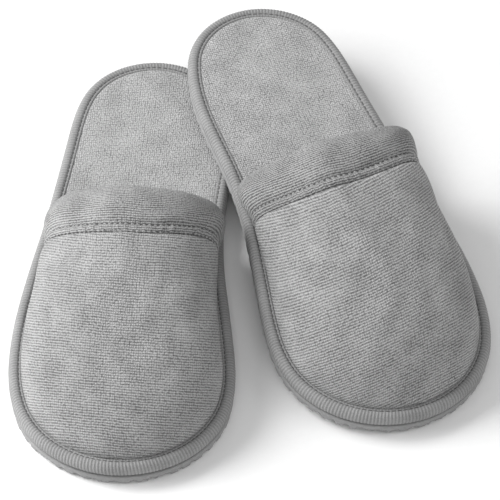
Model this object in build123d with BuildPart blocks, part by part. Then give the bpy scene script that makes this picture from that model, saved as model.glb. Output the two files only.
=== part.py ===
from build123d import *

import math
import os
from dataclasses import dataclass

# A pair of closed-toe terry spa slippers, the left one resting its heel on the right one's heel.
#
# Each slipper is a stack: a moulded outsole, then a stiff insole board, a foam insole and a terry insole
# cover, all held at the rim by a ribbed binding tape; then a padded upper of three layers, and a padded
# cuff round the throat, lapped over the upper and held by two rows of stitches.  Units are millimetres.
# +Z is up, the toes point to -Y, and the origin is on the floor under the middle of the pair.

# ---- Sole outline: stations run from the heel tip (0) to the toe tip (LENGTH) --------------------------
LENGTH = 273.0
HEEL_RADIUS = 39.5
HEEL_CENTRE_X = 0.8  # towards the little toe
TOE_RADIUS = 55.0
TOE_CENTRE_X = 1.5
ROUND_ARC = 140.0  # degrees of each end that are a true arc
OUTER_SIDE = [(56.0, 43.4), (118.0, 50.4), (190.0, 58.9)]  # (station, half width) on the little-toe side
INNER_SIDE = [(55.0, 41.8), (105.0, 40.3), (192.0, 51.5)]  # on the big-toe side
SIDE_SPANS = 10  # an outline moved in follows each side at this many steps

# ---- Sole stack, heights above the floor ---------------------------------------------------------------
OUTSOLE_TOP = 5.6
OUTSOLE_INSET = 0.4
TAPE = 0.9  # thickness of the binding tape
BOARD_T = 1.0
FOAM_T = 3.4
COVER_T = 1.0
FLANGE_T = 0.5
BOARD_BOTTOM = OUTSOLE_TOP + TAPE
FOAM_BOTTOM = BOARD_BOTTOM + BOARD_T
COVER_BOTTOM = FOAM_BOTTOM + FOAM_T
COVER_TOP = COVER_BOTTOM + COVER_T
BINDING_TOP = COVER_TOP + TAPE
BINDING_WIDTH = 6.0
BINDING_ROUND = 3.2
UNDER_LIP = 7.4  # how far in the binding reaches underneath
THIN_EDGE = 2.2  # the board and the cover stop this far inside the outline, the foam at TAPE

# ---- Tread: zigzag grooves that run across the sole and out at its edges -------------------------------
TREAD_DEPTH = 1.4
TREAD_PITCH = 8.5
TREAD_GROOVE = 3.0
TREAD_WAVE = 16.0  # length of one zigzag
TREAD_SWING = 4.0

# ---- Upper and cuff: depths are measured inwards from the upper's outer face ---------------------------
UPPER_INSET = 6.2
SHELL_T = 1.0
PADDING_T = 2.6
LINING_T = 0.8
PADDING_DEPTH = SHELL_T
LINING_DEPTH = SHELL_T + PADDING_T
INNER_DEPTH = SHELL_T + PADDING_T + LINING_T
CUFF_SKIN = 0.8
CUFF_PUFF = 1.4  # how far the cuff stands proud of the upper
RIM = 125.5  # station of the throat's rim at the middle
HEM = 147.5  # station where the cuff ends and the upper begins
LAP = 10.0  # the cuff's cover laps this far over the upper
FRONT_WALL = 1.0
RIM_SPAN = 50.0  # the rim and hem fall back by `bow` at this distance from the middle
DOME_BACK = 120.0  # the upper reaches its full height this far behind its toe tip
TOE_STEPS = [0.8, 3.0, 8.0, 17.0, 32.0, 52.0, 76.0, 98.0]  # sections, measured back from the toe tip
THROAT_STEPS = [148.0, 134.0, 120.0, 104.0]  # stations of the last sections
DOME_SWELL = 2.0
DOME_NOSE = 1.75
BULGE_FADE = 50.0  # the sides' bulge fades over this length forward of the rim
BULGE_LEAST = 0.15

# ---- Stitches ------------------------------------------------------------------------------------------
THREAD = 0.7
THREAD_RISE = 0.4
SEAM_STITCH = 4.2
SEAM_PITCH = 6.4
SEAM_INSET = 4.7
SEAM_GAP = (107.0, 156.0)  # the cuff hides the binding's seam between these stations
HEM_STITCH = 2.6
HEM_PITCH = 4.0
HEM_ROWS = {"rear": 149.5, "front": 154.5}
ROW_FOOT = 4.0  # the rows stop this far above the insole
STITCH_GAP = 0.15

# ---- How the left slipper lies on the right one --------------------------------------------------------
LEFT_SHIFT = (90.0, 33.3)
LEFT_RAISE = 9.5
LEFT_YAW = 22.5
LEFT_PITCH = 3.75
LEFT_ROLL = 2.05


@dataclass
class Side:
    """One side of the upper's section: its bulge, how high it is widest, and how square its shoulder is."""

    bulge: float
    flank: float
    shoulder: float
    bow: float


@dataclass
class Foot:
    """hand is -1 for the right slipper and 1 for the left: the side of the little toe along X."""

    name: str
    hand: int
    height: float
    ridge: float  # how far the ridge stands towards the little toe
    outer: Side
    inner: Side


RIGHT = Foot("right", -1, 42.0, 0.0, Side(9.5, 0.52, 0.54, 15.0), Side(14.0, 0.65, 0.68, 16.0))
LEFT = Foot("left", 1, 42.0, 4.0, Side(7.0, 0.78, 0.80, 12.0), Side(12.5, 0.45, 0.47, 18.0))


def y_at(station):
    """The Y of a station in the slipper's own frame, whose origin is half way along on the floor."""
    return LENGTH / 2 - station


def sole_face(foot, inset):
    """The sole's outline, moved in by inset: two end arcs, and a curve along each side."""
    half = ROUND_ARC / 2
    minus, plus = (INNER_SIDE, OUTER_SIDE) if foot.hand > 0 else (OUTER_SIDE, INNER_SIDE)
    down_minus = [(-width, y_at(s)) for s, width in minus]
    up_plus = [(width, y_at(s)) for s, width in reversed(plus)]
    heel_at = (foot.hand * HEEL_CENTRE_X, y_at(HEEL_RADIUS))
    toe_at = (foot.hand * TOE_CENTRE_X, y_at(LENGTH - TOE_RADIUS))
    with BuildSketch() as outline:
        with BuildLine():
            heel = CenterArc(heel_at, HEEL_RADIUS - inset, 90 - half, 2 * half)
            toe = CenterArc(toe_at, TOE_RADIUS - inset, 270 - half, 2 * half)
            full_heel = CenterArc(heel_at, HEEL_RADIUS, 90 - half, 2 * half, mode=Mode.PRIVATE)
            full_toe = CenterArc(toe_at, TOE_RADIUS, 270 - half, 2 * half, mode=Mode.PRIVATE)
            for start, marks, end in ((full_heel, down_minus, full_toe), (full_toe, up_plus, full_heel)):
                bends = (start % 1, end % 0)
                side = Spline([start @ 1, *marks, end @ 0], tangents=bends, mode=Mode.PRIVATE)
                inside = [
                    side @ t + (side % t).rotate(Axis.Z, 90) * inset
                    for t in [i / SIDE_SPANS for i in range(SIDE_SPANS + 1)]
                ]
                Spline(inside, tangents=bends)
        make_face()
    return outline.sketch


def slab(foot, inset, low, high):
    """A flat layer with the sole's outline, moved in by inset."""
    face = sole_face(foot, inset)
    with BuildPart() as layer:
        with BuildSketch(Plane.XY.offset(low)):
            add(face)
        extrude(amount=high - low)
    return layer.part


def width_at(face, station):
    """Where a sole face begins and ends along X at a station."""
    edges = face.face().outer_wire().edges()
    hits = [edge.intersect(Plane.XZ.offset(-y_at(station))) for edge in edges]
    ends = [point.X for hit in hits if hit for point in hit]
    return min(ends), max(ends)


def dome_height(foot, station, depth):
    """Height of the upper over the insole along its ridge."""
    back = max(0.0, min((LENGTH - UPPER_INSET - station) / DOME_BACK, 1.0))
    return foot.height * (1 - (1 - back) ** DOME_SWELL) ** (1 / DOME_NOSE) - depth


def arch_points(foot, face, station, depth):
    """Control points of the two curves of the upper's section, each from the insole up to the ridge."""
    minus, plus = width_at(face, station)
    top = COVER_TOP + dome_height(foot, station, depth)
    ridge = foot.hand * foot.ridge * min(1.0, (plus - minus) / (2 * RIM_SPAN))
    fade = max(BULGE_LEAST, 1 - max(0.0, station - RIM) / BULGE_FADE)
    curves = []
    for foot_x, sign in ((minus, -1), (plus, 1)):
        side = foot.outer if sign == foot.hand else foot.inner
        rise = top - COVER_TOP
        curves.append([
            (foot_x, COVER_TOP),
            (foot_x + sign * side.bulge * fade, COVER_TOP + side.flank * rise),
            (ridge + side.shoulder * (foot_x - ridge), top),
            (ridge, top),
        ])
    return curves


def dome(foot, depth):
    """The solid under the upper's outer face moved in by depth, from the toe to behind the throat."""
    face = sole_face(foot, UPPER_INSET + depth)
    stations = [LENGTH - UPPER_INSET - depth - step for step in TOE_STEPS] + THROAT_STEPS
    sections = [(y_at(s), arch_points(foot, face, s, depth)) for s in stations]
    with BuildPart() as solid:
        for y, (minus_side, plus_side) in sections:
            with BuildSketch(Plane.XZ.offset(-y)):
                with BuildLine():
                    Bezier(*minus_side)
                    Bezier(*reversed(plus_side))
                    Line(plus_side[0], minus_side[0])
                make_face()
        loft()
    return solid.part


def bow_station(foot, station, x):
    """The rim and the hem fall back towards the heel at the sides."""
    side = foot.outer if x * foot.hand > 0 else foot.inner
    return station - side.bow * (x / RIM_SPAN) ** 2


def behind(foot, station):
    """Everything on the heel's side of the rim, or of a line that runs beside it."""
    across = [-72.0, -48.0, -24.0, 0.0, 24.0, 48.0, 72.0]
    with BuildPart() as block:
        with BuildSketch():
            with BuildLine():
                bow = Spline([(x, y_at(bow_station(foot, station, x))) for x in across])
                Polyline(bow @ 1, (across[-1], LENGTH), (across[0], LENGTH), bow @ 0)
            make_face()
        extrude(amount=LENGTH)
    return block.part


def rim_frame(foot):
    """The room that the binding takes: everything outside its inner edge, up to its top."""
    middle = slab(foot, BINDING_WIDTH, 0, BINDING_TOP)
    with BuildPart() as frame:
        with BuildSketch():
            Rectangle(LENGTH, 2 * LENGTH)
        extrude(amount=BINDING_TOP)
        add(middle, mode=Mode.SUBTRACT)
    return frame.part


def flange(foot, rear, front=None):
    """The upper's seam allowance, a flat ring that the binding clamps on the insole."""
    ring = slab(foot, THIN_EDGE, COVER_TOP - FLANGE_T, COVER_TOP)
    hole = slab(foot, UPPER_INSET + SHELL_T / 2, COVER_TOP - FLANGE_T, COVER_TOP)
    heel_part = behind(foot, rear)
    kept = behind(foot, front) if front else None
    with BuildPart() as strip:
        add(ring)
        add(hole, mode=Mode.SUBTRACT)
        add(heel_part, mode=Mode.SUBTRACT)
        if kept:
            add(kept, mode=Mode.INTERSECT)
    return strip.part


def shell_between(foot, outer, inner, rear, front=None):
    """A layer of the upper between two domes, from the line `rear` forward to the toe or to `front`."""
    heel_part = behind(foot, rear)
    kept = behind(foot, front) if front else None
    binding_room = rim_frame(foot)
    with BuildPart() as layer:
        add(outer)
        add(inner, mode=Mode.SUBTRACT)
        add(heel_part, mode=Mode.SUBTRACT)
        if kept:
            add(kept, mode=Mode.INTERSECT)
        add(binding_room, mode=Mode.SUBTRACT)
    return layer.part


def seam_spots(foot):
    """Where the stitches of the binding's seam lie, along the outline moved in by SEAM_INSET."""
    line = sole_face(foot, SEAM_INSET).face().outer_wire()
    count = round(line.length / SEAM_PITCH)
    height = BINDING_TOP + STITCH_GAP + THREAD_RISE / 2
    spots = []
    for i in range(count):
        point = line.position_at(i / count)
        if not SEAM_GAP[0] < LENGTH / 2 - point.Y < SEAM_GAP[1]:
            spots.append(Plane((point.X, point.Y, height), x_dir=line.tangent_at(i / count), z_dir=(0, 0, 1)))
    return spots


def hem_spots(foot, station):
    """Where the stitches of one row lie on the cuff's lap."""
    depth = -CUFF_SKIN
    face = sole_face(foot, UPPER_INSET + depth)
    lift = STITCH_GAP + THREAD_RISE / 2
    steps = 120
    trail = []
    for sign in (0, 1):
        for i in range(steps + 1):
            t = i / steps if sign == 0 else 1 - i / steps
            x = 0.0
            for _ in range(4):
                here = bow_station(foot, station, x)
                a, b, c, d = [Vector(*p) for p in arch_points(foot, face, here, depth)[sign]]
                spot = a * (1 - t) ** 3 + b * (3 * t * (1 - t) ** 2) + c * (3 * t * t * (1 - t)) + d * t**3
                x = spot.X
            if spot.Y > COVER_TOP + ROW_FOOT and (not trail or abs(trail[-1].X - spot.X) > 1e-6):
                trail.append(Vector(spot.X, y_at(here), spot.Y))
    spots, walked = [], 0.0
    for before, point in zip(trail, trail[1:]):
        run = point - before
        walked += run.length
        if walked > HEM_PITCH:
            walked -= HEM_PITCH
            out = run.cross(Vector(0, 1, 0)).normalized()
            spots.append(Plane(point + out * lift, x_dir=run.normalized(), z_dir=out))
    return spots


def stitches(spots, length):
    """One short thread at each spot."""
    with BuildPart() as threads:
        with Locations(*spots):
            Box(length, THREAD, THREAD_RISE)
    return threads.part


def make_slipper(foot):
    """The sub-parts of one slipper in its own frame, by name."""
    board_space = slab(foot, THIN_EDGE, BOARD_BOTTOM, FOAM_BOTTOM)
    foam_space = slab(foot, TAPE, FOAM_BOTTOM, COVER_BOTTOM)
    cover_space = slab(foot, THIN_EDGE, COVER_BOTTOM, COVER_TOP)
    under_space = slab(foot, UNDER_LIP, OUTSOLE_TOP, BOARD_BOTTOM)
    over_space = slab(foot, BINDING_WIDTH, COVER_TOP, BINDING_TOP)
    block = slab(foot, 0, OUTSOLE_TOP, BINDING_TOP)
    sole = slab(foot, OUTSOLE_INSET, 0, OUTSOLE_TOP)
    allowance = flange(foot, RIM)

    with BuildPart() as outsole:
        add(sole)
        add(under_space)
        with BuildSketch():
            for i in range(int(LENGTH / TREAD_PITCH) + 1):
                y = -LENGTH / 2 + i * TREAD_PITCH
                count = int(LENGTH / 2 / TREAD_WAVE) + 1
                turns = [(k * TREAD_WAVE / 2, TREAD_SWING * (k % 2)) for k in range(-count, count + 1)]
                with BuildLine():
                    Polyline(
                        *[(x, y + rise) for x, rise in turns],
                        *[(x, y + rise + TREAD_GROOVE) for x, rise in reversed(turns)],
                        close=True,
                    )
                make_face()
        extrude(amount=TREAD_DEPTH, mode=Mode.SUBTRACT)

    with BuildPart() as insole_board:
        add(board_space)

    with BuildPart() as insole_foam:
        add(foam_space)

    with BuildPart() as insole_cover:
        add(cover_space)
        add(allowance, mode=Mode.SUBTRACT)

    with BuildPart() as edge_binding:
        add(block)
        rims = edge_binding.faces().filter_by(Axis.Z)
        fillet(rims.edges(), BINDING_ROUND)
        for room in (under_space, board_space, foam_space, cover_space, over_space):
            add(room, mode=Mode.SUBTRACT)

    cuff_skin = dome(foot, -CUFF_PUFF)
    cuff_core = dome(foot, CUFF_SKIN - CUFF_PUFF)
    lap_skin = dome(foot, -CUFF_SKIN)
    upper_skin = dome(foot, 0)
    padding_skin = dome(foot, PADDING_DEPTH)
    lining_skin = dome(foot, LINING_DEPTH)
    hollow = dome(foot, INNER_DEPTH)

    shell_layer = shell_between(foot, upper_skin, padding_skin, HEM)
    shell_flange = flange(foot, HEM)
    with BuildPart() as upper_shell:
        add(shell_layer)
        add(shell_flange)

    padding_layer = shell_between(foot, padding_skin, lining_skin, HEM)
    with BuildPart() as upper_foam:
        add(padding_layer)

    lining_layer = shell_between(foot, lining_skin, hollow, HEM)
    with BuildPart() as upper_lining:
        add(lining_layer)

    cuff_band = shell_between(foot, cuff_skin, hollow, RIM, HEM)
    core_band = shell_between(foot, cuff_core, lining_skin, RIM + CUFF_SKIN, HEM - FRONT_WALL)
    lap_band = shell_between(foot, lap_skin, upper_skin, HEM, HEM + LAP)
    cuff_flange = flange(foot, RIM, HEM)
    with BuildPart() as cuff_cover:
        add(cuff_band)
        add(core_band, mode=Mode.SUBTRACT)
        add(lap_band)
        add(cuff_flange)

    with BuildPart() as cuff_foam:
        add(core_band)

    seam_at = seam_spots(foot)
    rows = {name: hem_spots(foot, station) for name, station in HEM_ROWS.items()}
    return {
        "outsole": outsole,
        "insole_board": insole_board,
        "insole_foam": insole_foam,
        "insole_cover": insole_cover,
        "edge_binding": edge_binding,
        "upper_shell": upper_shell,
        "upper_foam": upper_foam,
        "upper_lining": upper_lining,
        "cuff_cover": cuff_cover,
        "cuff_foam": cuff_foam,
    }, {
        "binding_stitches": stitches(seam_at, SEAM_STITCH),
        "hem_stitches_front": stitches(rows["front"], HEM_STITCH),
        "hem_stitches_rear": stitches(rows["rear"], HEM_STITCH),
    }


def main():
    """Makes both slippers, lays the left one on the right one, and writes every sub-part."""
    os.makedirs("parts", exist_ok=True)
    poses = {
        "right": Location((0, 0, 0)),
        "left": Location((*LEFT_SHIFT, LEFT_RAISE))
        * Location((0, 0, 0), (0, 0, LEFT_YAW))
        * Location((0, 0, 0), (0, LEFT_ROLL, 0))
        * Location((0, 0, 0), (LEFT_PITCH, 0, 0)),
    }
    pieces = {}
    for foot in (RIGHT, LEFT):
        builders, threads = make_slipper(foot)
        solids = {name: builder.part for name, builder in builders.items()} | threads
        for name, solid in solids.items():
            pieces[f"{foot.name}_{name}"] = solid.moved(poses[foot.name])
    boxes = [piece.bounding_box() for piece in pieces.values()]
    middle_x = (min(box.min.X for box in boxes) + max(box.max.X for box in boxes)) / 2
    middle_y = (min(box.min.Y for box in boxes) + max(box.max.Y for box in boxes)) / 2
    for name, piece in pieces.items():
        with BuildPart() as finished:
            add(piece.moved(Location((-middle_x, -middle_y, 0))))
        finished.part.label = name
        export_step(finished.part, f"parts/{name}.step")


main()
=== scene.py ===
import math
from dataclasses import dataclass

import bpy
import numpy as np
from mathutils import Matrix, Vector, noise


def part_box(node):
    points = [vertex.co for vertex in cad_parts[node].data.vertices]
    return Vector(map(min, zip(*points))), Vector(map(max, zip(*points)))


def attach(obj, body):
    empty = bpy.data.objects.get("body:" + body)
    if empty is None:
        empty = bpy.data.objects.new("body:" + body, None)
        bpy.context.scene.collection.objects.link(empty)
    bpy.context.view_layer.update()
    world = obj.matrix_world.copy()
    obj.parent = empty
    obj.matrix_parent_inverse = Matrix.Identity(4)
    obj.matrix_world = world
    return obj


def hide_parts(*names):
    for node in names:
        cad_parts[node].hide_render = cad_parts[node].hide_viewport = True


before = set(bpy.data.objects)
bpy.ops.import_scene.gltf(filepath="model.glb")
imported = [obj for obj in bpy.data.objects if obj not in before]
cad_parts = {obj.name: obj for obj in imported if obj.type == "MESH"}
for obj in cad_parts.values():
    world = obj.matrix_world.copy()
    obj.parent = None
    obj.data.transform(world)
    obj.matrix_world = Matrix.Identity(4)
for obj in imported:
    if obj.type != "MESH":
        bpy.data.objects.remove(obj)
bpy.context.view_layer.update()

# The look of a pair of closed-toe terry spa slippers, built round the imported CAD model.
#
# Shapes are worked out in each slipper's own frame in millimetres, with the little-toe side at +X, then
# mirrored and placed in the row's frame in metres. Stations run from the heel tip to the toe tip.

MM = 0.001
CLOTH_UNIT = 100.0  # millimetres of fabric to one unit of its UV layer

# ---- The CAD model's driving dimensions, in millimetres ------------------------------------------------
LENGTH = 273.0
HEEL_RADIUS, HEEL_CENTRE_X = 39.5, 0.8
TOE_RADIUS, TOE_CENTRE_X = 55.0, 1.5
ROUND_ARC = 140.0
OUTER_SIDE = [(56.0, 43.4), (118.0, 50.4), (190.0, 58.9)]
INNER_SIDE = [(55.0, 41.8), (105.0, 40.3), (192.0, 51.5)]
BOARD_TOP, COVER_TOP, BINDING_TOP = 7.5, 11.9, 12.8
UPPER_INSET, SEAM_INSET = 6.2, 4.7
INNER_DEPTH = 4.4
RIM, RIM_SPAN = 125.5, 50.0
DOME_BACK, DOME_SWELL, DOME_NOSE = 120.0, 2.0, 1.75
BULGE_FADE, BULGE_LEAST = 50.0, 0.15
LEFT_SHIFT, LEFT_RAISE = (90.0, 33.3), 9.5
LEFT_YAW, LEFT_PITCH, LEFT_ROLL = 22.5, 3.75, 2.05


@dataclass
class Side:
    """One side of the upper's section: its bulge, how high it is widest and how square its shoulder is, at
    the throat and further ahead; and how far the rim and the hem's seam lie behind their middle here."""

    bulge: tuple
    flank: tuple
    shoulder: tuple
    rim_bow: float
    hem_bow: float


@dataclass
class Foot:
    """hand is -1 for the right slipper and 1 for the left: the side of the little toe along X. height and
    ridge give the section's top, ridge at the throat and further ahead. rim_shift and row_shift move the
    rim and the rows of stitches ahead of where the CAD has them, and rib_turn slants the vamp's ribs."""

    name: str
    hand: int
    height: float
    ridge: tuple
    rim_shift: float
    row_shift: float
    outer: Side
    inner: Side
    rib_turn: float
    seed: float
    place: Matrix = None


RIGHT = Foot("right", -1, 42.3, (1.7, 0.0), -0.7, 0.4,
             Side((8.5, 10.0), (0.44, 0.55), (0.43, 0.56), 15.6, 19.0),
             Side((15.6, 13.0), (0.63, 0.66), (0.69, 0.67), 9.8, 24.0), 0.03, 3.0)
LEFT = Foot("left", 1, 42.6, (-1.3, 6.0), 1.2, 1.0,
            Side((5.0, 9.0), (0.91, 0.72), (0.87, 0.72), 6.0, 15.0),
            Side((16.0, 12.0), (0.25, 0.50), (0.37, 0.50), 16.2, 24.0), 0.2, 11.0)

# ---- Seams and padding of the upper, measured forward of the rim ---------------------------------------
ROW_REAR, ROW_FRONT = 24.0, 29.0  # the two rows of stitches
HEM_PITCH = 3.0
RIM_ROLL = 3.0
VAMP_START = 28.3
RIB_PITCH = 1.75  # of the binding tape
SEAM_PITCH = 3.2
NOTCH_PITCH, NOTCH_RISE = 8.6, 1.5  # of the sole's lower edge
TREAD_PITCH, TREAD_WAVE, TREAD_DEPTH = 8.5, 16.0, 1.4
SOLE_TOP, SOLE_MIDDLE = 5.55, 34.0  # its top, and how far in from the outline its rings go
SEAM_THREAD, HEM_THREAD = (2.3, 0.26), (1.7, 0.28)  # length and radius of a stitch
INSOLE_PUFF, VAMP_PUFF, CUFF_PUFF = (1.5, 0.8), (2.0, 1.2), (3.0, 1.5)  # pressure and reach, for inflate
SIMULATED_FRAMES = 20


def smooth_step(value, low, high):
    """0 below low, 1 above high, and a smooth rise between them."""
    t = np.clip((value - low) / (high - low), 0, 1)
    return t * t * (3 - 2 * t)


def travelled(points):
    """Distance covered along a line of points, from its first one."""
    return np.concatenate([[0], np.cumsum(np.linalg.norm(np.diff(points, axis=0), axis=1))])


# ---- Sole outline --------------------------------------------------------------------------------------
def clamped_spline(points, start, end, count):
    """A smooth curve through points that starts and ends in the given directions."""
    p = np.array(points, float)
    step = np.linalg.norm(np.diff(p, axis=0), axis=1)
    n = len(p)
    a, b = np.zeros((n, n)), np.zeros((n, 2))
    a[0, 0] = a[-1, -1] = 1
    b[0], b[-1] = start, end
    for i in range(1, n - 1):
        a[i, i - 1], a[i, i], a[i, i + 1] = step[i], 2 * (step[i - 1] + step[i]), step[i - 1]
        b[i] = 3 * (step[i] / step[i - 1] * (p[i] - p[i - 1]) + step[i - 1] / step[i] * (p[i + 1] - p[i]))
    slope = np.linalg.solve(a, b)
    out = []
    for i in range(n - 1):
        t = np.linspace(0, 1, count, endpoint=i == n - 2)[:, None]
        h = step[i]
        out.append(
            (2 * t**3 - 3 * t**2 + 1) * p[i]
            + (t**3 - 2 * t**2 + t) * h * slope[i]
            + (3 * t**2 - 2 * t**3) * p[i + 1]
            + (t**3 - t**2) * h * slope[i + 1]
        )
    return np.concatenate(out)


def make_outline():
    """The sole's outline, anticlockwise from the heel tip, with its last point on its first."""

    def arc(centre, radius, start, end):
        a = np.radians(np.linspace(start, end, 400))
        return np.stack([centre[0] + radius * np.cos(a), centre[1] + radius * np.sin(a)], -1)

    half = ROUND_ARC / 2
    heel_at = (HEEL_CENTRE_X, LENGTH / 2 - HEEL_RADIUS)
    toe_at = (TOE_CENTRE_X, TOE_RADIUS - LENGTH / 2)
    heel_out, heel_in = arc(heel_at, HEEL_RADIUS, 90, 90 + half), arc(heel_at, HEEL_RADIUS, 90 - half, 90)
    toe = arc(toe_at, TOE_RADIUS, 270 - half, 270 + half)

    def end_direction(curve, last):
        d = curve[-1] - curve[-2] if last else curve[1] - curve[0]
        return d / np.linalg.norm(d)

    inner_marks = [(-w, LENGTH / 2 - s) for s, w in INNER_SIDE]
    outer_marks = [(w, LENGTH / 2 - s) for s, w in reversed(OUTER_SIDE)]
    down = clamped_spline(
        [heel_out[-1], *inner_marks, toe[0]], end_direction(heel_out, True), end_direction(toe, False), 150
    )
    up = clamped_spline(
        [toe[-1], *outer_marks, heel_in[0]], end_direction(toe, True), end_direction(heel_in, False), 150
    )
    return np.concatenate([heel_out[:-1], down[:-1], toe[:-1], up[:-1], heel_in])


def even(line, count):
    """count points at even distances along a closed line whose last point repeats its first."""
    run = travelled(line)
    at = np.linspace(0, run[-1], count, endpoint=False)
    points = np.stack([np.interp(at, run, line[:, k]) for k in range(line.shape[1])], -1)
    return points, run[-1]


def inward(points):
    """Unit normals of a closed line, pointing into it."""
    d = np.roll(points, -1, 0) - np.roll(points, 1, 0)
    d /= np.linalg.norm(d, axis=1)[:, None]
    return np.stack([-d[:, 1], d[:, 0]], -1)


OUTLINE_POINTS = 2400
OUTLINE, PERIMETER = even(make_outline(), OUTLINE_POINTS)
NORMALS = inward(OUTLINE)
INSETS = np.arange(3.0, 14.1, 1.0)
BACKS = np.linspace(0, 1, 260) ** 2 * 262.0


def outline_ring(count):
    """count even points round the sole's outline, and their inward normals."""
    points, _ = even(np.concatenate([OUTLINE, OUTLINE[:1]]), count)
    return points, inward(points)


def build_width_table():
    """Half widths of the outline moved in by each of INSETS, by distance back from its toe tip."""
    inner, outer = [], []
    for inset in INSETS:
        p = OUTLINE + NORMALS * inset
        back = p[:, 1] - (inset - LENGTH / 2)
        for keep, side in ((p[:, 0] < TOE_CENTRE_X, inner), (p[:, 0] >= TOE_CENTRE_X, outer)):
            order = np.argsort(back[keep])
            side.append(np.interp(BACKS, back[keep][order], p[keep][order, 0]))
    return np.array(inner), np.array(outer)


INNER_TABLE, OUTER_TABLE = build_width_table()


def widths(inset, back):
    """X of the big-toe side and of the little-toe side, for arrays of insets and distances back."""
    row = np.clip((inset - INSETS[0]) / (INSETS[1] - INSETS[0]), 0, len(INSETS) - 1.001)
    col = np.clip(np.sqrt(np.maximum(back, 0) / BACKS[-1]) * (len(BACKS) - 1), 0, len(BACKS) - 1.001)
    r, c = row.astype(int), col.astype(int)
    fr, fc = row - r, col - c
    return [
        (table[r, c] * (1 - fc) + table[r, c + 1] * fc) * (1 - fr)
        + (table[r + 1, c] * (1 - fc) + table[r + 1, c + 1] * fc) * fr
        for table in (INNER_TABLE, OUTER_TABLE)
    ]


# ---- The upper's surface -------------------------------------------------------------------------------
def upper_points(foot, back, t, depth):
    """Points of the upper. back is the distance behind the toe tip along the ridge, t runs from -1 at the
    big-toe side to 1 at the little-toe side, and depth is measured inwards from the upper's outer face."""
    back, t, depth = np.broadcast_arrays(np.asarray(back, float), t, depth)
    inset = UPPER_INSET + depth
    level = LENGTH - inset - back + depth * smooth_step(back, 5, 60)
    bow_share = smooth_step(back, 10, 90)
    past_rim = smooth_step(LENGTH - UPPER_INSET - RIM - back, 0, 20)
    forward = smooth_step(LENGTH - UPPER_INSET - RIM - back, 22, 62)
    station = level.copy()
    a = np.abs(t)
    for _ in range(4):
        own_back = np.maximum(LENGTH - inset - station, 0.02)
        x_in, x_out = widths(inset, own_back)
        lift = 1 - np.clip((LENGTH - UPPER_INSET - station) / DOME_BACK, 0, 1)
        rise = np.maximum(foot.height * (1 - lift**DOME_SWELL) ** (1 / DOME_NOSE) - depth, 0.4)
        ridge = foot.ridge[0] + (foot.ridge[1] - foot.ridge[0]) * forward
        ridge = ridge * np.minimum(1, (x_out - x_in) / (2 * RIM_SPAN))
        fade = np.maximum(BULGE_LEAST, 1 - np.maximum(0, station - RIM) / BULGE_FADE)
        is_out = t >= 0

        def pick(name):
            near, far = (
                np.where(is_out, getattr(foot.outer, name)[k], getattr(foot.inner, name)[k]) for k in (0, 1)
            )
            return near + (far - near) * forward

        base = np.where(is_out, x_out, x_in)
        sign = np.where(is_out, 1.0, -1.0)
        px = [base, base + sign * pick("bulge") * fade, ridge + pick("shoulder") * (base - ridge), ridge]
        pz = [0 * rise, pick("flank") * rise, rise, rise]
        u = 1 - a
        weight = [(1 - u) ** 3, 3 * u * (1 - u) ** 2, 3 * u * u * (1 - u), u**3]
        x = sum(w * p for w, p in zip(weight, px))
        z = sum(w * p for w, p in zip(weight, pz))
        rim_bow = np.where(x >= 0, foot.outer.rim_bow, foot.inner.rim_bow)
        hem_bow = np.where(x >= 0, foot.outer.hem_bow, foot.inner.hem_bow)
        side_bow = rim_bow + (hem_bow - rim_bow) * past_rim
        station = level - bow_share * side_bow * (x / RIM_SPAN) ** 2
    return np.stack([x, LENGTH / 2 - station, COVER_TOP + z], -1)


def rim_back(ahead):
    """Distance behind the toe tip of a line that lies `ahead` of the rim."""
    return LENGTH - UPPER_INSET - RIM - ahead


def even_columns(foot, back, count, depth=0.0):
    """Values of t that space count columns evenly over the section at back."""
    t = np.linspace(-1, 1, 400)
    p = upper_points(foot, back, t, depth)
    run = travelled(p)
    return np.interp(np.linspace(0, run[-1], count), run, t), run[-1]


def through(points, count):
    """A smooth line of count even points through a few points of a profile."""
    p = np.array(points, float)
    d = np.gradient(p, axis=0)
    fine = clamped_spline(p, d[0] / np.linalg.norm(d[0]), d[-1] / np.linalg.norm(d[-1]), 40)
    run = travelled(fine)
    at = np.linspace(0, run[-1], count)
    return np.stack([np.interp(at, run, fine[:, k]) for k in range(2)], -1)


# ---- Meshes --------------------------------------------------------------------------------------------
def add_piece(name, points, faces, foot, material, cloth=None):
    """A mesh from points in the slipper's frame. cloth is the fabric's own coordinates in millimetres."""
    p = np.asarray(points, float) * [foot.hand, 1, 1] * MM
    m = np.array(foot.place)
    p = p @ m[:3, :3].T + m[:3, 3]
    mesh = bpy.data.meshes.new(name)
    mesh.from_pydata(p.tolist(), [], [tuple(f) for f in faces])
    if foot.hand < 0:
        mesh.flip_normals()
    if cloth is not None:
        layer = mesh.uv_layers.new(name="cloth")
        index = np.zeros(len(mesh.loops), int)
        mesh.loops.foreach_get("vertex_index", index)
        layer.data.foreach_set("uv", (np.asarray(cloth, float)[index] / CLOTH_UNIT).ravel())
    mesh.polygons.foreach_set("use_smooth", [True] * len(mesh.polygons))
    mesh.materials.append(material)
    piece = bpy.data.objects.new(name, mesh)
    bpy.context.scene.collection.objects.link(piece)
    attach(piece, f"{foot.name}_slipper")
    return piece


def grid_faces(rows, columns, close_rows=False, close_columns=False, start=0):
    """Quads of a grid of rows by columns, wrapped round where asked."""
    faces = []
    for i in range(rows if close_rows else rows - 1):
        for j in range(columns if close_columns else columns - 1):
            k, m = (i + 1) % rows, (j + 1) % columns
            faces.append((start + i * columns + j, start + k * columns + j,
                          start + k * columns + m, start + i * columns + m))
    return faces


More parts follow.
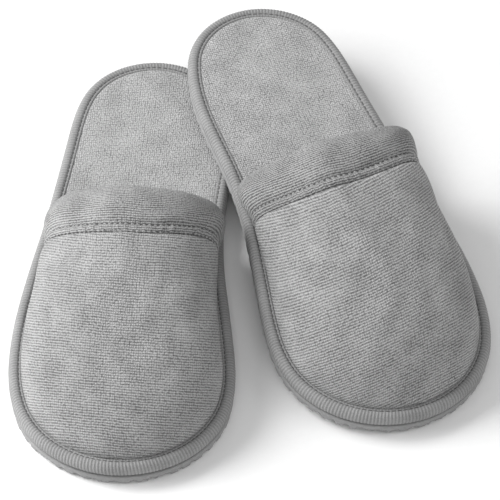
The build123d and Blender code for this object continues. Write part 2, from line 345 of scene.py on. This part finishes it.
def pad_faces(rows, columns):
    """Faces of a pad: a grid, the same grid below it turned over, and the edges that join the two."""
    count = rows * columns
    faces = grid_faces(rows, columns)
    faces += [f[::-1] for f in grid_faces(rows, columns, start=count)]
    ring = list(range(columns)) + [i * columns + columns - 1 for i in range(1, rows)]
    ring += [(rows - 1) * columns + j for j in range(columns - 2, -1, -1)]
    ring += [i * columns for i in range(rows - 2, 0, -1)]
    return faces + [(a, b, b + count, a + count) for a, b in zip(ring, ring[1:] + ring[:1])]


def ripple(points, scale, seed):
    """Smooth noise at each point, for a size of bump in millimetres."""
    return np.array([noise.noise(Vector((p[0] / scale + seed, p[1] / scale, p[2] / scale))) for p in points])


def inflate(piece, seams, pressure, reach):
    """Blows the padding up as cloth held at its seams. seams is 1 where a point is held, reach is the
    farthest that a point may go, in millimetres."""
    scene = bpy.context.scene
    group = piece.vertex_groups.new(name="seams")
    for index, weight in enumerate(seams):
        if weight > 0:
            group.add([index], float(weight), "REPLACE")
    before = np.empty(len(piece.data.vertices) * 3)
    piece.data.vertices.foreach_get("co", before)
    cloth = piece.modifiers.new("cloth", "CLOTH")
    cloth.settings.vertex_group_mass = "seams"
    cloth.settings.quality = 4
    cloth.settings.mass = 0.15
    cloth.settings.tension_stiffness = 12
    cloth.settings.compression_stiffness = 12
    cloth.settings.shear_stiffness = 6
    cloth.settings.bending_stiffness = 0.3
    cloth.settings.air_damping = 6
    cloth.settings.use_pressure = True
    cloth.settings.uniform_pressure_force = pressure
    cloth.settings.effector_weights.gravity = 0
    cloth.collision_settings.use_collision = False
    cloth.point_cache.frame_start, cloth.point_cache.frame_end = 1, SIMULATED_FRAMES
    for step in range(1, SIMULATED_FRAMES + 1):
        scene.frame_set(step)
    shown = piece.evaluated_get(bpy.context.evaluated_depsgraph_get())
    after = np.empty_like(before)
    shown.data.vertices.foreach_get("co", after)
    piece.modifiers.remove(cloth)
    scene.frame_set(1)
    before, after = before.reshape(-1, 3), after.reshape(-1, 3)
    move = np.nan_to_num(after - before)
    far, most = np.linalg.norm(move, axis=1)[:, None], reach * MM
    move *= np.minimum(1, most * np.tanh(far / most) / np.maximum(far, 1e-9))
    piece.data.vertices.foreach_set("co", (before + move).ravel())
    piece.data.update()


def refine(piece):
    """One level of subdivision, applied."""
    piece.modifiers.new("smooth", "SUBSURF").levels = 1
    shown = piece.evaluated_get(bpy.context.evaluated_depsgraph_get())
    mesh = bpy.data.meshes.new_from_object(shown)
    piece.modifiers.clear()
    old, piece.data = piece.data, mesh
    bpy.data.meshes.remove(old)


# ---- Materials -----------------------------------------------------------------------------------------
class Nodes:
    """A few short words for building a node tree."""

    def __init__(self, name):
        self.material = bpy.data.materials.new(name)
        self.material.use_nodes = True
        self.tree = self.material.node_tree
        self.shader = self.tree.nodes["Principled BSDF"]

    def add(self, kind, settings=None, **inputs):
        node = self.tree.nodes.new(kind)
        for key, value in (settings or {}).items():
            setattr(node, key, value)
        for key, value in inputs.items():
            self.put(node, key.replace("_", " "), value)
        return node

    def put(self, node, key, value):
        socket = node.inputs[int(key)] if key.isdigit() else node.inputs[key]
        if isinstance(value, bpy.types.NodeSocket):
            self.tree.links.new(value, socket)
        else:
            socket.default_value = value

    def math(self, operation, a, b=None):
        node = self.tree.nodes.new("ShaderNodeMath")
        node.operation = operation
        self.put(node, "0", a)
        if b is not None:
            self.put(node, "1", b)
        return node.outputs[0]

    def mix(self, factor, a, b):
        """Colour a where factor is 0, b where it is 1."""
        node = self.add("ShaderNodeMix", {"data_type": "RGBA"})
        self.put(node, "0", factor)
        self.put(node, "6", a)
        self.put(node, "7", b)
        return node.outputs[2]

    def total(self, a, share_a, b, share_b):
        """a and b added in the given shares."""
        return self.math("ADD", self.math("MULTIPLY", a, share_a), self.math("MULTIPLY", b, share_b))

    def swing(self, shade, node, share):
        """shade with a noise node's rise and fall added to it."""
        part = self.math("MULTIPLY", self.math("SUBTRACT", node.outputs[0], 0.5), share)
        return self.math("ADD", shade, part)

    def wave(self, operation, turns):
        """A sine or cosine that runs from 0 to 1."""
        node = self.math("MULTIPLY_ADD", self.math(operation, turns), 0.5).node
        self.put(node, "2", 0.5)
        return node.outputs[0]

    def spread(self, value, low, high):
        """value from low to high stretched to 0 to 1, and held there beyond them."""
        node = self.add("ShaderNodeMapRange")
        self.put(node, "Value", value)
        self.put(node, "From Min", low)
        self.put(node, "From Max", high)
        return node.outputs[0]

    def finish(self, colour, height, distance, strength=1.0, roughness=0.95, sheen=0.25):
        """Joins colour and bump to the shader. distance is the bump's depth in metres."""
        bump = self.add("ShaderNodeBump", Height=height, Strength=strength, Distance=distance)
        self.put(self.shader, "Base Color", colour)
        self.put(self.shader, "Normal", bump.outputs[0])
        self.put(self.shader, "Roughness", roughness)
        self.put(self.shader, "Specular IOR Level", 0.2)
        self.put(self.shader, "Sheen Weight", sheen)
        self.put(self.shader, "Sheen Roughness", 0.5)
        return self.material


def grey(value):
    """An opaque grey."""
    return (value, value, value, 1)


def terry(name, valley, crest, rib, loop, rib_share, mottle, grain=1.5, fuzz=0.25, depth=0.5):
    """Knitted terry: ribs across the slipper, loops along them, and slow patches of lighter pile."""
    n = Nodes(name)
    at = n.add("ShaderNodeUVMap", {"uv_map": "cloth"}).outputs[0]
    wander = n.add("ShaderNodeTexNoise", Vector=at, Scale=11.0, Detail=2.0)
    part = n.add("ShaderNodeSeparateXYZ", Vector=at)
    across, along = part.outputs[0], part.outputs[1]
    bent = n.math("ADD", along, n.math("MULTIPLY", wander.outputs[0], 0.006))
    turns = n.math("MULTIPLY", bent, 2 * math.pi * CLOTH_UNIT / rib)
    wave = n.wave("SINE", turns)
    stretch = n.add("ShaderNodeCombineXYZ", X=n.math("MULTIPLY", across, CLOTH_UNIT / loop),
                    Y=n.math("MULTIPLY", bent, CLOTH_UNIT / rib))
    cells = n.add("ShaderNodeTexVoronoi", {"feature": "F1", "voronoi_dimensions": "2D"},
                  Vector=stretch.outputs[0], Scale=1.0, Randomness=0.5)
    loops = n.spread(cells.outputs[0], 0.75, 0.1)
    speck = n.add("ShaderNodeTexNoise", Vector=at, Scale=110.0, Detail=3.0, Roughness=0.7)
    patch = n.add("ShaderNodeTexNoise", Vector=at, Scale=7.0, Detail=3.0, Roughness=0.6)
    pile = n.swing(n.total(wave, rib_share, loops, 1 - rib_share), speck, grain)
    shade = n.swing(pile, patch, mottle)
    colour = n.mix(n.spread(shade, 0.0, 1.0), grey(valley), grey(crest))
    return n.finish(colour, pile, depth * MM, sheen=fuzz)


def ribbed_tape(name, valley, crest):
    """Woven tape: fine threads over ribs that are in the mesh."""
    n = Nodes(name)
    at = n.add("ShaderNodeUVMap", {"uv_map": "cloth"}).outputs[0]
    part = n.add("ShaderNodeSeparateXYZ", Vector=at)
    turns = n.math("MULTIPLY", part.outputs[0], 2 * math.pi * CLOTH_UNIT / RIB_PITCH)
    wave = n.wave("COSINE", turns)
    thread = n.add("ShaderNodeTexNoise", Vector=at, Scale=160.0, Detail=3.0)
    patch = n.add("ShaderNodeTexNoise", Vector=at, Scale=6.0, Detail=2.0)
    pile = n.total(wave, 0.3, thread.outputs[0], 0.75)
    colour = n.mix(n.spread(n.swing(pile, patch, 0.4), 0.1, 0.95), grey(valley), grey(crest))
    return n.finish(colour, pile, 0.25 * MM, sheen=0.1)


def speckled(name, dark, light, scale, depth, roughness, sheen=0.0):
    """A matt solid with a fine grain: moulded foam rubber, board or thread."""
    n = Nodes(name)
    at = n.add("ShaderNodeTexCoord").outputs["Object"]
    grain = n.add("ShaderNodeTexNoise", Vector=at, Scale=scale, Detail=4.0)
    patch = n.add("ShaderNodeTexNoise", Vector=at, Scale=scale / 20, Detail=2.0)
    shade = n.total(grain.outputs[0], 0.7, patch.outputs[0], 0.3)
    colour = n.mix(n.spread(shade, 0.3, 0.7), grey(dark), grey(light))
    return n.finish(colour, grain.outputs[0], depth * MM, roughness=roughness, sheen=sheen)


UPPER_CLOTH = terry("terry_upper", 0.115, 0.50, 1.3, 1.15, 0.45, 0.8)
CUFF_CLOTH = terry("terry_cuff", 0.07, 0.50, 1.3, 1.15, 0.5, 0.8)
INSOLE_CLOTH = terry("terry_insole", 0.20, 0.60, 1.2, 1.05, 0.2, 0.8, depth=0.4)
TAPE = ribbed_tape("binding_tape_cloth", 0.15, 0.40)
RUBBER = speckled("sole_foam_rubber", 0.27, 0.34, 900.0, 0.08, 0.8)
BOARD = speckled("insole_board_fibre", 0.34, 0.44, 1500.0, 0.05, 0.9)
THREAD = speckled("sewing_thread", 0.07, 0.13, 4000.0, 0.05, 0.85, 0.1)


# ---- Pieces --------------------------------------------------------------------------------------------
def make_outsole(foot):
    """The moulded sole: a notched lower edge and zigzag grooves underneath."""
    count = round(PERIMETER / 0.8)
    base, normal = outline_ring(count)
    run = np.arange(count) / count
    notches = round(PERIMETER / NOTCH_PITCH)
    uneven = 1.3 * np.sin(2 * math.pi * 9 * run)  # the notches aren't quite regular
    notch = smooth_step(np.cos(2 * math.pi * notches * run + uneven), 0.25, 0.75)
    top = [(SOLE_MIDDLE, SOLE_TOP), (8.0, SOLE_TOP), (1.2, SOLE_TOP)]
    wall = [(0.5, 5.35), (0.35, 4.6), (0.4, 3.4), (0.5, 2.4), (0.75, 1.1), (1.2, 0.35), (1.9, 0.0)]
    under = [(inset, 0.0) for inset in np.arange(2.8, SOLE_MIDDLE + 0.1, 0.9)]
    points = []
    rings = [(inset, height, 1.0) for inset, height in top + wall + under]
    rings += [(SOLE_MIDDLE, 0.0, squeeze) for squeeze in np.linspace(1, 0, 26)[1:]]  # onto the middle line
    for inset, height, squeeze in rings:
        near = max(0.0, 1 - max(0.0, inset - 2.5) / 2) * (1 if height < 2.4 else 0.3)
        spot = base + normal * (inset + 0.25 * notch * near)[:, None]
        spot[:, 0] = spot[:, 0] * squeeze + TOE_CENTRE_X * (1 - squeeze)
        fold = np.abs((spot[:, 0] / TREAD_WAVE) % 1 - 0.5) * TREAD_WAVE
        across = np.abs((spot[:, 1] + fold) % TREAD_PITCH - TREAD_PITCH / 2)
        groove = smooth_step(across, 2.4, 3.2) * (height < 1.2)
        lift = np.maximum(NOTCH_RISE * notch * near, TREAD_DEPTH * groove)
        points.append(np.column_stack([spot, np.minimum(height + lift, SOLE_TOP)]))
    faces = [f[::-1] for f in grid_faces(len(rings), count, close_columns=True)]
    faces += [tuple(range(count)), tuple(range(count * (len(rings) - 1), count * len(rings)))[::-1]]
    piece = add_piece(f"{foot.name}_moulded_sole", np.concatenate(points), faces, foot, RUBBER)
    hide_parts(f"{foot.name}_outsole")
    return piece


def make_binding(foot):
    """The tape rolled round the edge: ribs across it, a groove for its seam, and a thin flat lip."""
    outer = through([
        (7.2, 5.75), (4.6, 5.62), (2.0, 5.9), (0.45, 7.2), (-0.05, 9.3), (0.7, 11.5), (2.3, 12.85),
        (3.8, 12.9), (4.55, 12.5), (SEAM_INSET + 0.15, 12.1), (5.3, 12.45), (5.9, 12.5),
        (6.35, 12.2), (6.4, 11.7),
    ], 34)
    inner = np.array([(5.2, 11.5), (1.5, 11.3), (0.9, 9.2), (1.5, 7.0), (7.0, 6.6)])
    profile = np.concatenate([outer, inner])
    weight = np.concatenate([smooth_step(SEAM_INSET - outer[:, 0], 0.1, 1.2), np.zeros(len(inner))])
    face_out = np.gradient(outer, axis=0)
    face_out = np.stack([-face_out[:, 1], face_out[:, 0]], -1)
    face_out /= np.linalg.norm(face_out, axis=1)[:, None]
    push = np.concatenate([face_out, np.zeros((len(inner), 2))]) * weight[:, None]
    ribs = round(PERIMETER / RIB_PITCH)
    rings = ribs * 5
    base, normal = outline_ring(rings)
    run = np.arange(rings) / rings * PERIMETER
    over = travelled(profile)
    points, cloth = [], []
    for i in range(rings):
        slow = noise.noise(Vector((run[i] / 30, foot.seed, 0))) * 0.25
        lean = 0.35 * np.sin(over / over[-1] * 9)
        height = 0.1 * np.cos(2 * math.pi * (run[i] + lean) / PERIMETER * ribs)
        shift = profile + push * (height + slow)[:, None]
        spot = base[i] + normal[i] * shift[:, :1]
        points.append(np.column_stack([spot, shift[:, 1]]))
        cloth.append(np.column_stack([(run[i] + lean) * ribs * RIB_PITCH / PERIMETER, over]))
    piece = add_piece(
        f"{foot.name}_binding_tape", np.concatenate(points), grid_faces(rings, len(profile), True, True),
        foot, TAPE, np.concatenate(cloth),
    )
    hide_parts(f"{foot.name}_edge_binding")
    return piece


def make_threads(name, foot, spots, length, radius, node):
    """Short sunk stitches. spots holds a centre, a direction and an outward normal for each."""
    sides, rings = 7, [(-1.0, 0.25), (-0.8, 0.8), (-0.3, 1.0), (0.3, 1.0), (0.8, 0.8), (1.0, 0.25)]
    points, faces = [], []
    for centre, along, out in spots:
        side = np.cross(along, out)
        start = len(points)
        for reach, girth in rings:
            dip = out * radius * 0.9 * (1 - reach**2)
            for k in range(sides):
                a = 2 * math.pi * k / sides
                ring = side * math.cos(a) + out * math.sin(a)
                points.append(centre + along * reach * length / 2 + ring * radius * girth + dip)
        faces += grid_faces(len(rings), sides, close_columns=True, start=start)
        last = start + sides * (len(rings) - 1)
        faces += [tuple(range(start, start + sides)), tuple(range(last, last + sides))[::-1]]
    piece = add_piece(name, points, faces, foot, THREAD)
    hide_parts(node)
    return piece


def make_binding_seam(foot):
    """The seam in the binding's groove. The cuff covers it at the sides."""
    count = round(PERIMETER / SEAM_PITCH)
    base, normal = outline_ring(count)
    spots = []
    for p, n in zip(base, normal):
        at = p + n * (SEAM_INSET + 0.15)
        spots.append((np.array([*at, BINDING_TOP - 0.65]), np.array([n[1], -n[0], 0]), np.array([0, 0, 1.0])))
    return make_threads(f"{foot.name}_binding_seam", foot, spots, *SEAM_THREAD,
                        f"{foot.name}_binding_stitches")


def make_insole(foot):
    """The padded insole: a crowned terry face that dips to the binding all round."""
    edge, rows, columns = 5.7, 120, 48
    line = OUTLINE + NORMALS * edge
    angle = (1 - np.cos(np.linspace(0.02, math.pi - 0.02, rows))) / 2
    back = angle * (LENGTH - 2 * edge)
    x_in, x_out = widths(np.full(rows, edge), back)
    share = (1 - np.cos(np.linspace(0, math.pi, columns))) / 2
    top = []
    for b, a, c in zip(back, x_in, x_out):
        top += [(a + (c - a) * s, edge + b - LENGTH / 2) for s in share]
    top = np.array(top)
    gap = np.sqrt(((top[:, None, :] - line[None, ::6, :]) ** 2).sum(-1)).min(1)
    flat = np.column_stack([top, np.zeros(len(top))])
    crown = 1.25 * (1 - np.exp(-gap / 2.6)) - 0.3
    swell = 0.45 * ripple(flat, 34, foot.seed) + 0.22 * ripple(flat, 13, foot.seed + 5)
    height = COVER_TOP + crown + swell * smooth_step(gap, 1, 9)
    upper = np.column_stack([top, height])
    lower = np.column_stack([top, np.full(len(top), BOARD_TOP + 0.1)])
    piece = add_piece(f"{foot.name}_insole_pad", np.concatenate([upper, lower]), pad_faces(rows, columns),
                      foot, INSOLE_CLOTH, np.concatenate([top, top]))
    inflate(piece, np.concatenate([gap < 1.5, np.ones(len(top))]), *INSOLE_PUFF)
    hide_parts(f"{foot.name}_insole_cover", f"{foot.name}_insole_foam")
    return piece


def vamp_depth(foot, back):
    """The vamp's face: it rises out of the hem, swells a little, and lies on the pattern's shape ahead."""
    ahead = rim_back(foot.row_shift) - back
    rise = 1.6 * (1 - smooth_step(ahead, VAMP_START, VAMP_START + 3.2))
    swell = 0.7 * np.exp(-(((ahead - 39.5) / 11) ** 2))
    return rise - swell


def make_vamp(foot):
    """The padded closed toe: outer face, lining, and the edges that join them."""
    rows, columns = 70, 80
    start = rim_back(VAMP_START + foot.row_shift)
    back = 0.08 + (start - 0.08) * np.linspace(0, 1, rows) ** 1.55  # rows crowd at the toe
    back = np.sort(np.concatenate([back, start - np.array([0.5, 1.1, 1.8, 2.6])]))
    rows = len(back)
    sheets, cloth = [], []
    middle, _ = even_columns(foot, rim_back(ROW_FRONT + 30), columns)
    for depth in (vamp_depth(foot, back), np.full_like(back, INNER_DEPTH)):
        p = np.stack([upper_points(foot, b, middle, d) for b, d in zip(back, depth)])
        p[:, [0, -1], 2] -= 0.5  # the side edges sink into what they stand on
        sheets.append(p.reshape(-1, 3))
        over = [travelled(row) for row in p]
        over = np.stack([o - o[columns // 2] for o in over])
        lean = p.reshape(-1, 3) @ np.array([foot.rib_turn, -0.75, -0.66])  # ribs lie in planes that lean
        cloth.append(np.column_stack([over.ravel(), lean]))
    face = sheets[0]
    out = face - sheets[1]
    out /= np.maximum(np.linalg.norm(out, axis=1), 1e-6)[:, None]
    calm = smooth_step(face[:, 2] - COVER_TOP, 1, 9)
    swell = 0.9 * ripple(face, 38, foot.seed) + 0.3 * ripple(face, 12, foot.seed + 9)
    sheets[0] = face + out * (swell * calm)[:, None]
    piece = add_piece(f"{foot.name}_vamp", np.concatenate(sheets), pad_faces(rows, columns), foot,
                      UPPER_CLOTH, np.concatenate(cloth))
    held = (calm < 0.02) | (np.repeat(np.arange(rows), columns) > rows - 4)
    inflate(piece, np.concatenate([held, np.ones(rows * columns)]), *VAMP_PUFF)
    refine(piece)
    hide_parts(*[f"{foot.name}_upper_{layer}" for layer in ("shell", "foam", "lining")])
    return piece


def cuff_profile(foot, count):
    """The cuff's closed section: (ahead of the rim, depth), from the hem inside, over the rim, to the hem."""
    r = RIM_ROLL
    profile = through([
        (30.1, 4.3), (20.0, 4.6), (10.0, 4.7), (r, 4.5), (0.9, 3.5), (0.0, 1.3), (0.7, -0.6), (r, -1.8),
        (8.0, -2.8), (15.0, -2.9), (20.0, -1.9), (22.8, -0.4), (ROW_REAR, 0.75), (24.9, 0.0), (26.5, -0.6),
        (28.1, -0.05), (ROW_FRONT, 0.85), (29.9, 1.7), (30.7, 2.8),
    ], count)
    profile[:, 0] += foot.rim_shift + (foot.row_shift - foot.rim_shift) * smooth_step(profile[:, 0], 6, 24)
    return profile


def make_cuff(foot):
    """The padded cuff and its stitched hem."""
    columns, count = 208, 72
    profile = cuff_profile(foot, count)
    t, width = even_columns(foot, rim_back(12), columns, -2.0)
    u = np.linspace(-width / 2, width / 2, columns)
    rows = []
    ahead, depth = profile[:, 0], profile[:, 1]
    at = ahead - foot.row_shift
    pinch = np.exp(-(((at - ROW_REAR) / 0.9) ** 2)) + np.exp(-(((at - ROW_FRONT) / 0.9) ** 2))
    band = np.exp(-(((at - (ROW_REAR + ROW_FRONT) / 2) / 2.6) ** 2)) * (depth < 2)
    puff = smooth_step(-depth, -0.5, 1.5) * (at < ROW_REAR - 1)
    for k in range(count):
        stitch = 0.45 * pinch[k] * np.cos(2 * math.pi * u / HEM_PITCH) * (depth[k] < 2)
        pucker = np.array([noise.noise(Vector((x / 3.1, foot.seed, ahead[k] / 9))) for x in u])
        slow = np.array([noise.noise(Vector((x / 21, foot.seed + 4, ahead[k] / 16))) for x in u])
        own = depth[k] + stitch - 0.8 * band[k] * pucker - 0.9 * puff[k] * slow
        drift = 0.5 * np.array([noise.noise(Vector((x / 26, foot.seed + 8, 0))) for x in u])
        rows.append(upper_points(foot, rim_back(ahead[k]) - drift, t, own))
    p = np.stack(rows)
    p[:, [0, -1], 2] -= 0.6  # the side edges sink into what they stand on
    over = travelled(profile)
    cloth = np.column_stack([np.tile(u, count), np.repeat(over, columns)])
    faces = grid_faces(count, columns, close_rows=True)
    for j in (0, columns - 1):
        cap = [k * columns + j for k in range(count)]
        faces.append(tuple(cap if j else cap[::-1]))
    piece = add_piece(f"{foot.name}_cuff", p.reshape(-1, 3), faces, foot, CUFF_CLOTH, cloth)
    held = (pinch > 0.5) | (depth > 3.3) | (at > ROW_FRONT - 0.5)
    inflate(piece, np.repeat(held, columns), *CUFF_PUFF)
    refine(piece)
    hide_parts(f"{foot.name}_cuff_cover", f"{foot.name}_cuff_foam")
    return piece


def make_hem_row(foot, name, ahead):
    """One row of stitches, each thread sunk in its dimple."""
    back = rim_back(ahead + foot.row_shift)
    _, width = even_columns(foot, rim_back(12), 10, -2.0)
    fine, run = even_columns(foot, rim_back(12), 2001, -2.0)
    u = np.arange(-int(width / 2 / HEM_PITCH) + 1, int(width / 2 / HEM_PITCH)) * HEM_PITCH
    t = np.interp(u, np.linspace(-run / 2, run / 2, len(fine)), fine)
    step = 0.004
    here = upper_points(foot, back, t, 0.7)
    along = upper_points(foot, back, t + step, 0.7) - upper_points(foot, back, t - step, 0.7)
    along /= np.linalg.norm(along, axis=1)[:, None]
    out = upper_points(foot, back, t, -0.3) - here
    out -= along * (out * along).sum(1)[:, None]
    out /= np.linalg.norm(out, axis=1)[:, None]
    spots = [s for s in zip(here, along, out) if s[0][2] > BINDING_TOP + 3]
    return make_threads(f"{foot.name}_hem_row_{name}", foot, spots, *HEM_THREAD,
                        f"{foot.name}_hem_stitches_{name}")


# ---- Placing -------------------------------------------------------------------------------------------
binding_low, binding_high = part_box("right_edge_binding")
right_origin = Vector((binding_low.x + OUTLINE[:, 0].max() * MM, (binding_low.y + binding_high.y) / 2, 0))
RIGHT.place = Matrix.Translation(right_origin)
LEFT.place = (
    Matrix.Translation(right_origin + Vector((*LEFT_SHIFT, LEFT_RAISE)) * MM)
    @ Matrix.Rotation(math.radians(LEFT_YAW), 4, "Z")
    @ Matrix.Rotation(math.radians(LEFT_ROLL), 4, "Y")
    @ Matrix.Rotation(math.radians(LEFT_PITCH), 4, "X")
)

for foot in (RIGHT, LEFT):
    make_outsole(foot)
    make_binding(foot)
    make_binding_seam(foot)
    make_insole(foot)
    make_vamp(foot)
    make_cuff(foot)
    make_hem_row(foot, "rear", ROW_REAR)
    make_hem_row(foot, "front", ROW_FRONT)
    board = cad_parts[f"{foot.name}_insole_board"]
    board.data.materials.clear()
    board.data.materials.append(BOARD)


# ---- Stage, light and camera ---------------------------------------------------------------------------
def make_floor():
    """A wide pale floor with a faint grain."""
    mesh = bpy.data.meshes.new("floor")
    half = 6.0
    corners = [(-half, -half, 0), (half, -half, 0), (half, half, 0), (-half, half, 0)]
    mesh.from_pydata(corners, [], [(0, 1, 2, 3)])
    n = Nodes("floor_paint")
    at = n.add("ShaderNodeTexCoord").outputs["Object"]
    grain = n.add("ShaderNodeTexNoise", Vector=at, Scale=300.0, Detail=2.0)
    colour = n.mix(grain.outputs[0], grey(0.93), grey(0.96))
    n.put(n.shader, "Base Color", colour)
    n.put(n.shader, "Roughness", 0.9)
    n.put(n.shader, "Specular IOR Level", 0.1)
    mesh.materials.append(n.material)
    floor = bpy.data.objects.new("floor", mesh)
    bpy.context.scene.collection.objects.link(floor)


def add_light(name, place, target, size, power):
    """A soft round lamp aimed at a point."""
    light = bpy.data.lights.new(name, "AREA")
    light.shape = "DISK"
    light.size = size
    light.energy = power
    lamp = bpy.data.objects.new(name, light)
    lamp.location = place
    lamp.rotation_mode = "QUATERNION"
    lamp.rotation_quaternion = (Vector(target) - Vector(place)).to_track_quat("-Z", "Y")
    bpy.context.scene.collection.objects.link(lamp)


CAMERA_AZIMUTH, CAMERA_ELEVATION = 4.09, 48.51
CAMERA_DISTANCE, CAMERA_LENS = 2.965, 423.6
CAMERA_TARGET = Vector((53.98, 20.84, 0)) * MM  # from the middle of the right slipper
SKY_STRENGTH = 0.44

make_floor()
world = bpy.data.worlds.new("studio")
bpy.context.scene.world = world
world.use_nodes = True
world.node_tree.nodes["Background"].inputs[0].default_value = (1, 1, 1, 1)
world.node_tree.nodes["Background"].inputs[1].default_value = SKY_STRENGTH
add_light("key", (-1.8, 0.5, 1.5), (0, 0, 0), 1.3, 40.0)
add_light("side", (-0.62, -0.12, 0.34), (-0.08, -0.02, 0.02), 0.5, 3.0)
add_light("right", (1.2, -0.2, 0.9), (0.06, 0, 0.02), 0.8, 2.0)
add_light("fill", (0.4, -1.6, 1.9), (0, 0, 0), 1.8, 9.0)

aim = right_origin + CAMERA_TARGET
azimuth, elevation = math.radians(CAMERA_AZIMUTH), math.radians(CAMERA_ELEVATION)
away = Vector((math.sin(azimuth) * math.cos(elevation), -math.cos(azimuth) * math.cos(elevation),
               math.sin(elevation)))
lens = bpy.data.cameras.new("camera")
lens.lens = CAMERA_LENS
lens.sensor_width = 36.0
lens.clip_end = 20.0
camera = bpy.data.objects.new("camera", lens)
camera.location = aim + away * CAMERA_DISTANCE
camera.rotation_mode = "QUATERNION"
camera.rotation_quaternion = (-away).to_track_quat("-Z", "Y")
bpy.context.scene.collection.objects.link(camera)
bpy.context.scene.camera = camera
bpy.context.scene.view_settings.view_transform = "Standard"
